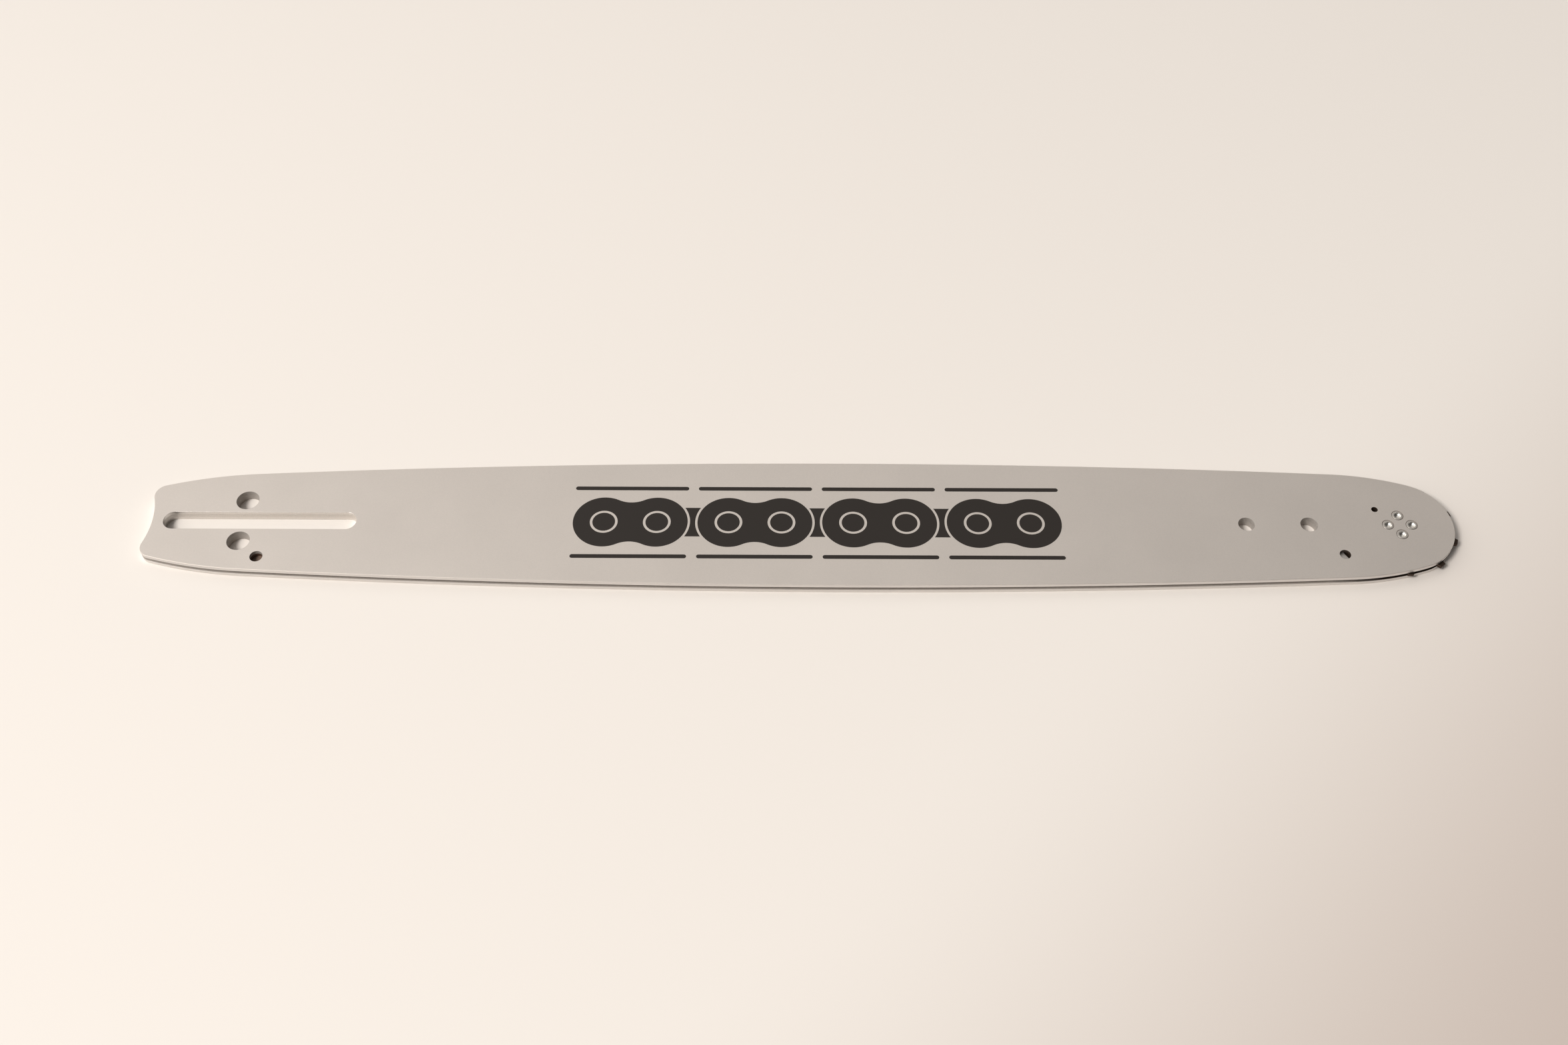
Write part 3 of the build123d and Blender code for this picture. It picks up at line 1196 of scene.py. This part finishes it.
@dataclass
class NoseBearing:
    """Star sprocket, its ring of loose rollers and the hub that they run on; sizes in mm."""

    plan: BarPlan
    tooth_count: int = 10
    tip_width: float = 2.4
    tip_rounding: float = 0.4
    valley_floor_radius: float = 15.6
    valley_rounding: float = 3.6
    tooth_edge_round: float = 0.15
    valley_steps: int = 16
    tip_steps: int = 5
    roller_chamfer: float = 0.15
    smooth_angle: float = 40.0

    def half_tooth(self, tip_radius: float) -> Plan:
        """Toothed edge from the middle of a valley to the middle of the next tooth.

        Args:
            tip_radius: Radius of the tooth tips, in mm.

        Returns:
            Its points about the axle, each with the way into the metal.
        """
        half_pitch = math.pi / self.tooth_count
        valley = Vector((self.valley_floor_radius + self.valley_rounding, 0))
        tip = Matrix.Rotation(half_pitch, 2) @ Vector((tip_radius, -self.tip_width / 2))
        reach = tip - valley
        bearing = math.atan2(reach.y, reach.x) + math.acos(self.valley_rounding / reach.length)
        half: Plan = []
        # Round valley, up to where the straight flank leaves it.
        for step in range(self.valley_steps + 1):
            out = polar(1, math.degrees(math.pi + (bearing - math.pi) * step / self.valley_steps))
            half.append((valley + out * self.valley_rounding, out))
        # Rounded corner between the flank and the tip circle.
        flank_start, flank_into = half[-1]
        flank = (tip - flank_start).normalized()
        base = flank_start + flank_into * self.tip_rounding
        inner = tip_radius - self.tip_rounding
        along = base.dot(flank)
        bend = base + flank * (math.sqrt(inner**2 - base.length_squared + along**2) - along)
        turn = (-flank_into).angle_signed(bend)
        for step in range(self.tip_steps + 1):
            out = Matrix.Rotation(-turn * step / self.tip_steps, 2) @ -flank_into
            half.append((bend + out * self.tip_rounding, -out))
        middle = polar(1, math.degrees(half_pitch))
        return [*half, (middle * tip_radius, -middle)]

    def sprocket_edge(self, tip_radius: float) -> Plan:
        """Toothed edge of the sprocket.

        Args:
            tip_radius: Radius of the tooth tips, in mm.

        Returns:
            Its points, each with the way into the metal.
        """
        half = self.half_tooth(tip_radius)
        pitch = [*mirrored(half[1:-1], Vector((1, -1))), *half]
        plan: Plan = []
        for tooth in range(self.tooth_count):
            turn = Matrix.Rotation(FULL_TURN * tooth / self.tooth_count, 2)
            plan += [(self.plan.axle + turn @ point, turn @ into) for point, into in pitch]
        return plan

    def build_sprocket(self) -> None:
        """Builds the star sprocket and dresses it."""
        low, high = (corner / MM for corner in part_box("nose_sprocket"))
        wall = rounded_wall(high.z, low.z, self.tooth_edge_round, self.tooth_edge_round)
        bore = circle_plan(self.plan.axle, self.plan.sprocket_bore, True)
        rims = [Rim(self.sprocket_edge(high.y), wall), Rim(bore, wall)]
        piece = flat_piece("star_sprocket", rims, [TOOTH_STEEL_AND_SHADE.material()])
        take_place(piece, "sprocket", ["nose_sprocket"])

    def build_rollers(self, tree: bpy.types.NodeTree) -> None:
        """Builds the ring of rollers and dresses it.

        Args:
            tree: Geometry nodes that set copies round a centre.
        """
        names = sorted(name for name in frame["nodes"] if name.startswith("bearing_roller"))
        low, high = (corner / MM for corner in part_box(names[-1]))
        radius, chamfer = self.plan.roller_radius, self.roller_chamfer
        profile = [
            (0, high.z),
            (radius - chamfer, high.z),
            (radius, high.z - chamfer),
            (radius, low.z + chamfer),
            (radius - chamfer, low.z),
            (0, low.z),
        ]
        piece = turned_piece("roller_ring", profile, self.smooth_angle)
        run_tree(piece, tree, {
            "Count": len(names),
            "Radius": self.plan.roller_orbit * MM,
            "Centre": (*self.plan.axle * MM, 0.0),
            "First Angle": 0.0,
            "Material": RACE_STEEL.material(),
        })
        take_place(piece, "rollers", names)

    def build(self, tree: bpy.types.NodeTree) -> None:
        """Builds the sprocket and its bearing.

        Args:
            tree: Geometry nodes that set copies round a centre.
        """
        self.build_sprocket()
        self.build_rollers(tree)
        hub = frame["nodes"]["bearing_hub"]
        hub.data.materials.clear()
        hub.data.materials.append(RACE_STEEL.material())
        LOG.info("bearing_hub: kept as it is")


@dataclass
class FacePrint:
    """Black print on the upper face: a row of riveted chain links between two dashed lines; sizes in mm."""

    plan: BarPlan
    middle: float = 6.5
    link_count: int = 4
    link_gap: float = 3.8
    end_radius: float = 12.0
    waist_radius: float = 11.0
    eye_spacing: float = 20.6
    eye_radius: float = 5.4
    rivet_radius: float = 4.4
    seam: float = 0.9
    joint_half_height: float = 7.0
    dash_width: float = 1.8
    dash_offset: float = 16.6
    thickness: float = 0.03

    def __post_init__(self) -> None:
        """Works out the length of a link and the step from one link to the next."""
        self.link_length = self.eye_spacing + 2 * self.end_radius
        self.step = self.link_length + self.link_gap

    def link(self) -> list[Plan]:
        """Plans of one link: two round ends joined by a waist, with a ring round each rivet.

        Returns:
            The link's edge, then the outer and inner edge of each ring.
        """
        end = Vector((self.eye_spacing / 2, 0))
        waist = Vector((0, math.sqrt((self.end_radius + self.waist_radius) ** 2 - end.x**2)))
        touch = rim_point(end, self.end_radius, waist)
        tip = end + Vector((self.end_radius, 0))
        narrow = waist - Vector((0, self.waist_radius))
        quarter = arc_plan(end, tip, touch) + arc_plan(waist, touch, narrow, bulges_out=False)
        half = [*quarter, (narrow, Vector((0, -1))), *mirrored(quarter, Vector((-1, 1)))]
        plans = [half + mirrored(half[1:-1], Vector((1, -1)))]
        for eye in (end, -end):
            plans += [circle_plan(eye, self.eye_radius, True), circle_plan(eye, self.rivet_radius, False)]
        return plans

    def joint(self) -> Plan:
        """Plan of the piece of hidden link that shows between two links.

        Returns:
            Its points, each with the way into the ink.
        """
        eye = Vector((self.end_radius + self.link_gap / 2, 0))
        clear, height = self.end_radius + self.seam, self.joint_half_height
        corner = Vector((eye.x - math.sqrt(clear**2 - height**2), height))
        right = arc_plan(eye, corner * Vector((1, -1)), corner, bulges_out=False)
        right.append((corner, Vector((0, -1))))
        return right + [(-point, -into) for point, into in right]

    def dashes(self) -> list[Plan]:
        """Plans of the two dashes beside one link."""
        sides = [Vector((0, side * self.dash_offset)) for side in (1, -1)]
        return [slot_plan(centre, self.link_length, self.dash_width, False) for centre in sides]

    def repeat(self, name: str, plans: Sequence[Plan], count: int) -> None:
        """Prints plans side by side along the middle of the bar.

        Args:
            name: Name of the piece.
            plans: Plans of one copy, about its middle.
            count: Number of copies.
        """
        top = self.plan.top
        wall = [Level(0.0, top + self.thickness, math.radians(90)), Level(0.0, top, 0.0)]
        ink = INK.material()
        piece = flat_piece(name, [Rim(plan, wall) for plan in plans], [ink])
        run_tree(piece, row_tree(f"{name}_row"), {
            "Count": count,
            "Step": self.step * MM,
            "First": ((self.middle - self.step * (count - 1) / 2) * MM, 0.0, 0.0),
            "Material": ink,
        })
        take_place(piece, "bar")

    def build(self) -> None:
        """Prints the links with their dashes, and the joints between them."""
        self.repeat("face_links", self.link() + self.dashes(), self.link_count)
        self.repeat("face_joints", [self.joint()], self.link_count - 1)


@dataclass(frozen=True)
class Lamp:
    """Square soft lamp: its place and size in metres, and its power in watts."""

    name: str
    place: Place
    size: float
    power: float

    def hang(self, colour: Colour) -> None:
        """Hangs the lamp and aims it at the bar.

        Args:
            colour: Colour of its light.
        """
        data = bpy.data.lights.new(self.name, "AREA")
        data.shape = "SQUARE"
        data.size, data.energy, data.color = self.size, self.power, colour
        holder = link_object(self.name, data)
        holder.location = self.place
        holder.rotation_euler = (-holder.location).to_track_quat("-Z", "Y").to_euler()


@dataclass
class Studio:
    """Floor, light and camera: places and sizes in metres, angles in degrees, the sensor in mm."""

    floor_colour: Colour = (0.902, 0.848, 0.799)
    # Colour of the painted shade that the floor turns to towards the near right.
    floor_shade_colour: Colour = (0.62, 0.535, 0.485)
    floor_turn: Place = (0.3, -0.3, 0.0)
    floor_turn_start: float = 0.25
    floor_turn_end: float = 0.85
    floor_roughness: float = 0.9
    floor_specular: float = 0.1
    floor_size: float = 8.0
    floor_drop: float = 0.00003
    sky_towards: Place = (-0.8, 0.1, 0.6)
    sky_edge: float = 0.3
    sky_dark: float = 0.047
    sky_bright: float = 1.18
    light_colour: Colour = (1.0, 0.97, 0.93)
    lamps: tuple[Lamp, ...] = (
        Lamp("near_softbox", (-1.6, -1.0, 2.15), 0.8, 56.0),
        Lamp("far_softbox", (0.5, 1.25, 1.4), 1.2, 2.8),
    )
    camera_place: Place = (-0.006408, -0.405475, 0.529364)
    camera_pitch: float = 52.305
    camera_roll: float = 0.223
    camera_clip: float = 0.01
    focal_pixels: float = 2563.163
    image_width: int = 2353
    sensor_width: float = 36.0

    def floor_material(self) -> bpy.types.Material:
        """Builds the floor's finish.

        Returns:
            Its material: pale, and darker past a soft turn towards the near right.
        """
        material = bpy.data.materials.new("pale_floor")
        material.use_nodes = True
        nodes, links = material.node_tree.nodes, material.node_tree.links
        shader = nodes["Principled BSDF"]
        shader.inputs["Roughness"].default_value = self.floor_roughness
        shader.inputs["Specular IOR Level"].default_value = self.floor_specular
        place, along = nodes.new("ShaderNodeTexCoord"), nodes.new("ShaderNodeVectorMath")
        along.operation = "DOT_PRODUCT"
        along.inputs[1].default_value = Vector(self.floor_turn) / Vector(self.floor_turn).length_squared
        links.new(place.outputs["Object"], along.inputs[0])
        ramp = nodes.new("ShaderNodeMapRange")
        ramp.interpolation_type = "SMOOTHSTEP"
        ramp.inputs["From Min"].default_value = self.floor_turn_start
        ramp.inputs["From Max"].default_value = self.floor_turn_end
        links.new(along.outputs["Value"], ramp.inputs["Value"])
        tone = nodes.new("ShaderNodeMixRGB")
        tone.inputs["Color1"].default_value = (*self.floor_colour, 1)
        tone.inputs["Color2"].default_value = (*self.floor_shade_colour, 1)
        links.new(ramp.outputs["Result"], tone.inputs["Fac"])
        links.new(tone.outputs["Color"], shader.inputs["Base Color"])
        return material

    def build_floor(self) -> None:
        """Lays the floor, a hair under the bar."""
        mesh = bpy.data.meshes.new("floor")
        half, level = self.floor_size / 2, -self.floor_drop
        corners = [(x * half, y * half, level) for x, y in ((-1, -1), (1, -1), (1, 1), (-1, 1))]
        mesh.from_pydata(corners, [], [range(len(corners))])
        mesh.materials.append(self.floor_material())
        floor = link_object("floor", mesh)

    def build_world(self) -> None:
        """Surrounds the scene with a soft light, brighter on the left."""
        world = bpy.data.worlds.new("soft_room")
        world.use_nodes = True
        nodes, links = world.node_tree.nodes, world.node_tree.links
        background = nodes["Background"]
        background.inputs["Color"].default_value = (*self.light_colour, 1)
        place, towards = nodes.new("ShaderNodeTexCoord"), nodes.new("ShaderNodeVectorMath")
        towards.operation = "DOT_PRODUCT"
        towards.inputs[1].default_value = Vector(self.sky_towards).normalized()
        links.new(place.outputs["Generated"], towards.inputs[0])
        level = nodes.new("ShaderNodeMapRange")
        level.interpolation_type = "SMOOTHSTEP"
        level.inputs["From Min"].default_value = self.sky_edge
        level.inputs["To Min"].default_value = self.sky_dark
        level.inputs["To Max"].default_value = self.sky_bright
        links.new(towards.outputs["Value"], level.inputs["Value"])
        links.new(level.outputs["Result"], background.inputs["Strength"])
        bpy.context.scene.world = world

    def build_camera(self) -> None:
        """Sets the camera at the photograph's angle."""
        data = bpy.data.cameras.new("camera")
        data.sensor_width = self.sensor_width
        data.lens = self.focal_pixels / self.image_width * self.sensor_width
        data.clip_start = self.camera_clip
        camera = link_object("camera", data)
        pitch, roll = math.radians(self.camera_pitch), math.radians(self.camera_roll)
        turn = Matrix.Rotation(math.radians(90) - pitch, 4, "X") @ Matrix.Rotation(roll, 4, "Z")
        camera.matrix_world = Matrix.Translation(self.camera_place) @ turn
        bpy.context.scene.camera = camera

    def build(self) -> None:
        """Builds the studio round the bar."""
        bpy.context.scene.view_settings.view_transform = "Standard"
        self.build_floor()
        self.build_world()
        for lamp in self.lamps:
            lamp.hang(self.light_colour)
        self.build_camera()


def main() -> None:
    """Builds every piece of the bar, then the studio."""
    logging.basicConfig(level=logging.INFO, format="%(message)s")
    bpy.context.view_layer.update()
    plan = BarPlan()
    rivets = NoseRivets(plan)
    round_tree = ring_tree("copies_round_a_centre")
    SidePlates(plan, rivets).build()
    CorePlate(plan).build()
    NoseBearing(plan).build(round_tree)
    rivets.build(round_tree)
    FacePrint(plan).build()
    Studio().build()


if __name__ == "__main__":
    main()
